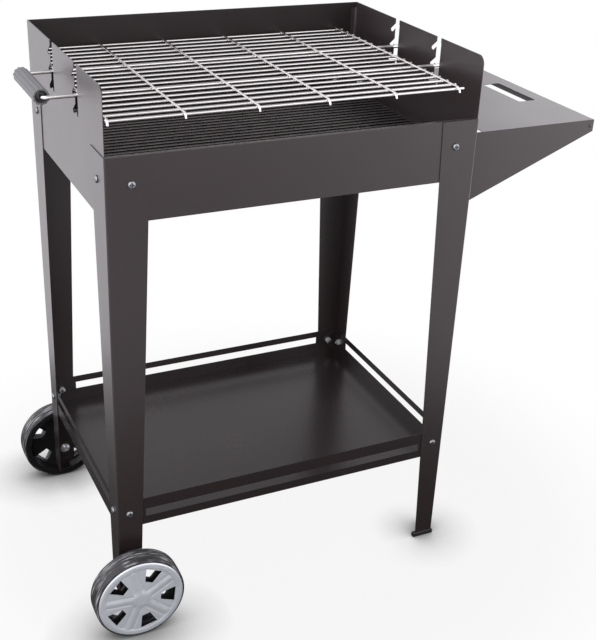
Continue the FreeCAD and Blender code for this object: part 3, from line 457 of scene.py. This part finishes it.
def pierce(section):
    """Faces of a section carried once round the axle, without those in the windows, and the walls
    that join the outer and the inner edge of each window along its sides and its ends."""
    one_fold = window_columns + spoke_columns
    columns = spokes * one_fold
    faces = quads(len(section), columns, True, True)
    in_window = np.arange(columns) % one_fold < window_columns
    outer, inner = np.flatnonzero(in_windows(section)).reshape(2, -1)
    keep = np.ones(faces.shape[:2], bool)
    keep[outer[0]:outer[-1], in_window] = False
    keep[inner[0]:inner[-1], in_window] = False
    inner = inner[::-1]
    starts = np.arange(spokes) * one_fold
    sides = np.concatenate([starts, starts + window_columns])[:, None]
    a, b = outer * columns + sides, inner * columns + sides
    side_walls = np.stack([a[:, :-1], a[:, 1:], b[:, 1:], b[:, :-1]], -1)
    cells, ends = np.flatnonzero(in_window), [0, -1]
    a, b = outer[ends, None] * columns + cells, inner[ends, None] * columns + cells
    end_walls = np.stack([a, a + 1, b + 1, b], -1)
    return np.concatenate([faces[keep], side_walls.reshape(-1, 4), end_walls.reshape(-1, 4)])


def round_axle(angle, radius, outward, turn, face):
    """Points (x + r sin t, face * outward, z + r cos t) of a piece that turns on the axle."""
    angle = angle + turn
    return np.stack([axle_x + radius * np.sin(angle), face * outward + 0 * angle,
                     axle_z + radius * np.cos(angle)], -1)


def wheel_section(far, hub_end):
    """Closed section of a wheel as radii and distances outward: from the bore along the outer side
    of the web, over rim and tread, and back along the inner side. The tread's radius is the full
    one less three grooves with sloping sides and a crown, the square of the way from its middle."""
    near, web_out, web_in, hub_face = far - wheel_width, far - 0.010, far - 0.015, far - 0.0085
    bore, hub, rim, fillet = 0.00405, 0.0110, 0.0600, 0.0006
    windows = np.linspace(window_low, window_high, 5)
    shoulder = np.array([0.0602, 0.0608, 0.0660, 0.0700, 0.0722, 0.0734])
    drop = np.array([0.0007, 0, 0, 0, 0.0004, 0.0012])
    groove_places, groove_depth, crown = np.array([-0.008, 0, 0.008]), 0.0008, 0.0004
    groove_top_half, groove_floor_half = 0.0012, 0.0004
    from_middle = np.linspace(-tread_half, tread_half, 59)
    from_groove = np.abs(from_middle[:, None] - groove_places).min(-1)
    groove = ramp(from_groove, groove_top_half, groove_floor_half)
    tread = tyre_radius - groove_depth * groove - crown * (from_middle / tread_half) ** 2
    runs = [([bore, hub - fillet, hub], [hub_face, hub_face, hub_face - fillet]),
            ([0.0126, 0.016, 0.024], web_out), (windows, web_out),
            ([rim - fillet, rim], [web_out, web_out + fillet]),
            (shoulder, far - drop), (tread, far - wheel_width / 2 - from_middle),
            (shoulder[::-1], near + drop[::-1]),
            ([rim, rim - fillet], [web_in - fillet, web_in]), (windows[::-1], web_in),
            ([0.024, 0.0140, 0.0130], [web_in, web_in, web_in - 0.001]),
            ([0.0112, 0.0106, bore], [hub_end + 0.0005, hub_end, hub_end])]
    return np.concatenate([np.broadcast_arrays(*run) for run in runs], 1)


tyre = rolled_plastic("tyre_plastic", black=(0.013, 0.013, 0.014, 1),
                      rubbed=(0.052, 0.051, 0.056, 1), scuff_and_highlight=(0.600, 0.596, 0.615, 1))
for label, face, turn in standing:
    hub_end, far = sorted(abs(corner.y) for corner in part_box("wheel_" + label))
    section, outward = wheel_section(far, hub_end)
    angle, radius = five_fold(section)
    points = round_axle(angle, radius, outward[:, None], turn, face)
    piece = make_piece("tread_wheel_" + label, points, pierce(section), tyre,
                       label + "_wheel")
    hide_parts("wheel_" + label)

# A cover disc of silvered plastic is pressed on the outer side of each wheel. It is moulded with
# a raised boss and rim and ridged spokes, and its five windows lie over those of the web.


def cover_height(angle, radius):
    """Height of the cover's front over its flat back: a raised boss and rim that ease into the
    disc, 3 s^2 - 2 s^3, a rounded edge, and along each spoke a ridge between two grooves."""
    boss, disc, rim_rise, edge_drop = 0.0031, 0.0014, 0.0010, 0.0016
    ridge_rise, ridge_foot_half, ridge_top_half = 0.0008, 0.00512, 0.00192
    groove_drop, groove_place, groove_half = 0.0006, 0.0078, 0.0020
    off_boss, on_rim = ramp(radius, 0.009, 0.020), ramp(radius, 0.0585, 0.0625)
    height = (boss - (boss - disc) * off_boss ** 2 * (3 - 2 * off_boss)
              + rim_rise * on_rim ** 2 * (3 - 2 * on_rim)
              - edge_drop * ramp(radius, 0.0675, 0.0700) ** 2)
    off_spoke = radius * np.abs((angle + fifth) % fifth - fifth / 2)
    ridge = ramp(off_spoke, ridge_foot_half, ridge_top_half)
    groove = ramp(np.abs(off_spoke - groove_place), groove_half, 0)
    along_spoke = ramp(radius, 0.012, 0.018) * ramp(radius, 0.0605, 0.0575)
    return height + along_spoke * (ridge_rise * ridge - groove_drop * groove)


silvered = metal_finish("silver_cover", deep=(0.64, 0.68, 0.725, 1), pale=(0.81, 0.84, 0.885, 1),
                        marks=(40.0, 3.0), least_dull=0.33, uneven=0.18, metallic=0.35,
                        grain=(90.0, 0.25, 0.0003))
cover_windows = np.linspace(window_low, window_high, 13)
cover_front = np.concatenate([
    np.linspace(0, 0.009, 4), np.linspace(0.011, 0.031, 10), cover_windows,
    [0.0585, 0.0595, 0.0605, 0.0615, 0.0625, 0.064, 0.0665, 0.068, 0.069, 0.0697, 0.0700]])
cover_back = np.concatenate([[0.0700, 0.066], cover_windows[::-1], [0.020, 0]])
cover_section = np.concatenate([cover_front, cover_back])
on_front = (np.arange(len(cover_section)) < len(cover_front))[:, None]
angle, radius = five_fold(cover_section)
height = np.where(on_front, cover_height(angle, radius), 0)
for label, face, turn in standing:
    far = max(abs(corner.y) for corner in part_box("wheel_" + label))
    points = round_axle(angle, radius, far + height, turn, face)
    piece = make_piece("moulded_cover_" + label, points, pierce(cover_section), silvered,
                       label + "_wheel")
    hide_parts("wheel_cap_" + label)

# The studio: a round pale floor sheet under the trolley, white all round, and two large soft
# lights, in front on the right and on the left. To the camera the sheet fades out into the white
# and keeps only the trolley's shadow. Paint and chrome mirror a room with walls of uneven white.
floor_reach, floor_corners, floor_drop = 0.85, 96, 0.0002
near_white, far_white, near_shade, far_shade = 0.91, 1.0, 0.10, 0.34
shadow_reach, room_light = 0.10, 0.4


def ease(tone, start, end, low=0.0, high=1.0):
    """A step that starts and ends softly."""
    return step(tone, start, end, low, high, "SMOOTHSTEP")


ring = np.linspace(0, 2 * np.pi, floor_corners, endpoint=False)
floor_points = np.stack([floor_reach * np.cos(ring), floor_reach * np.sin(ring),
                         0 * ring - floor_drop], -1)
floor_mesh = bpy.data.meshes.new("floor")
floor_mesh.from_pydata(floor_points.tolist(), [], [list(range(floor_corners))])
floor = bpy.data.objects.new("floor", floor_mesh)
bpy.context.scene.collection.objects.link(floor)
pale_sheet = bpy.data.materials.new("pale_floor")
pale_sheet.use_nodes = True
pale_sheet.node_tree.nodes.clear()
seen = Tone(pale_sheet.node_tree).node("ShaderNodeLightPath", out="Is Camera Ray")
spot = seen.node("ShaderNodeTexCoord", out="Object")
distance = spot.node("ShaderNodeVectorMath", {"operation": "LENGTH"}, {0: spot}, "Value")
fade = ease(distance, 0.4, 0.82, near_white, far_white)
# The sheet's own colour, which paint and chrome mirror, is darkened near the trolley: painted
# shade.
shade = ease(distance, 0.5, floor_reach, near_shade, far_shade)
sheet = seen.node("ShaderNodeBsdfDiffuse", None, {"Color": shade})
# To the camera the white is darkened by ambient occlusion by the wheels and feet: a painted contact
# shadow.
clear = seen.node("ShaderNodeAmbientOcclusion", {"samples": 16}, {"Distance": shadow_reach}, "AO")
white = seen.node("ShaderNodeEmission", None, {"Color": clear * clear})
mixed = seen.node("ShaderNodeMixShader", None, {0: seen * fade, 1: sheet, 2: white})
mixed.node("ShaderNodeOutputMaterial", None, {"Surface": mixed})
floor_mesh.materials.append(pale_sheet)

world = bpy.data.worlds.new("white_studio")
bpy.context.scene.world = world
world.use_nodes = True
world.node_tree.nodes.clear()
direct = Tone(world.node_tree).node("ShaderNodeLightPath", out="Is Camera Ray")
mirrored = direct.node("ShaderNodeLightPath", out="Is Glossy Ray")
way = direct.node("ShaderNodeTexCoord", out="Generated")
aside = way.node("ShaderNodeSeparateXYZ", None, {"Vector": way}, "X")
up = way.node("ShaderNodeSeparateXYZ", None, {"Vector": way}, "Z")
# The room that paint and chrome mirror: dimmer or lighter by the height and the side looked to.
ceiling, over_level, over_floor = ease(up, 0.30, 0.56), ease(up, 0.0, 0.2), ease(up, -0.52, -0.38)
right_half, far_right = ease(aside, -0.05, 0.30), ease(aside, 0.50, 0.60)
left_half = ease(aside, -0.20, -0.45)
ceiling_dimmed, right_lit, left_lit, left_floor_dimmed = 0.55, 0.78, 1.15, 0.60
low_front_dimmed, low_right_lit = 0.74, 1.75
room = (1.0 - ceiling * right_half * ceiling_dimmed
        + over_level * far_right * right_lit
        + left_half * (over_floor * left_lit - left_floor_dimmed)
        - (over_floor - over_level) * (right_half * low_front_dimmed - far_right * low_right_lit))
strength = direct + (1.0 - direct) * (mirrored * (room - room_light) + room_light)
tint = direct.between((0.98, 0.95, 1.0, 1), (1, 1, 1, 1))
sky = strength.node("ShaderNodeBackground", None, {"Color": tint, "Strength": strength})
sky.node("ShaderNodeOutputWorld", None, {"Surface": sky})


def posed(side, over, back, place):
    """Matrix of a thing that stands at a place with its own x, y and z along these ways."""
    rows = np.eye(4)
    rows[:3] = np.stack([side, over, back, place], 1)
    return Matrix(rows.tolist())


def soft_light(name, place, aim, size, power):
    """A square lamp that stands at a place and looks at an aim, its lower edge level."""
    lamp = bpy.data.lights.new(name, "AREA")
    lamp.shape = "RECTANGLE"
    lamp.size = lamp.size_y = size
    lamp.energy = power
    back = np.subtract(place, aim)
    back = back / np.linalg.norm(back)
    side = np.cross((0, 0, 1), back)
    side = side / np.linalg.norm(side)
    light = bpy.data.objects.new(name, lamp)
    light.matrix_world = posed(side, np.cross(back, side), back, place)
    bpy.context.scene.collection.objects.link(light)


soft_light("key_light", place=(1.3, -1.7, 1.7), aim=(0.1, -0.1, 0.75), size=3.2, power=30)
soft_light("side_light", place=(-1.6, -1.3, 2.0), aim=(-0.1, 0, 0.7), size=2.6, power=42)

# The camera stands a little over a metre and a half in front of the trolley, to its left and above
# the rim, and looks down on it. Its lens comes from a focal length in pixels of the picture.
camera_place = (-0.79101, -1.61097, 1.2985)
yaw, pitch, roll = math.radians(26.46), math.radians(-27.01), math.radians(2.65)
focal_pixels, picture_height, sensor = 1121.5, 640.0, 36.0
ahead = np.array([math.sin(yaw) * math.cos(pitch), math.cos(yaw) * math.cos(pitch),
                  math.sin(pitch)])
level = np.array([math.cos(yaw), -math.sin(yaw), 0.0])
upright = np.cross(level, ahead)
lens = bpy.data.cameras.new("camera")
lens.sensor_width = sensor
lens.lens = focal_pixels * sensor / picture_height
camera = bpy.data.objects.new("camera", lens)
camera.matrix_world = posed(math.cos(roll) * level + math.sin(roll) * upright,
                            math.cos(roll) * upright - math.sin(roll) * level,
                            -ahead, camera_place)
bpy.context.scene.collection.objects.link(camera)
bpy.context.scene.camera = camera
bpy.context.scene.view_settings.view_transform = "Standard"
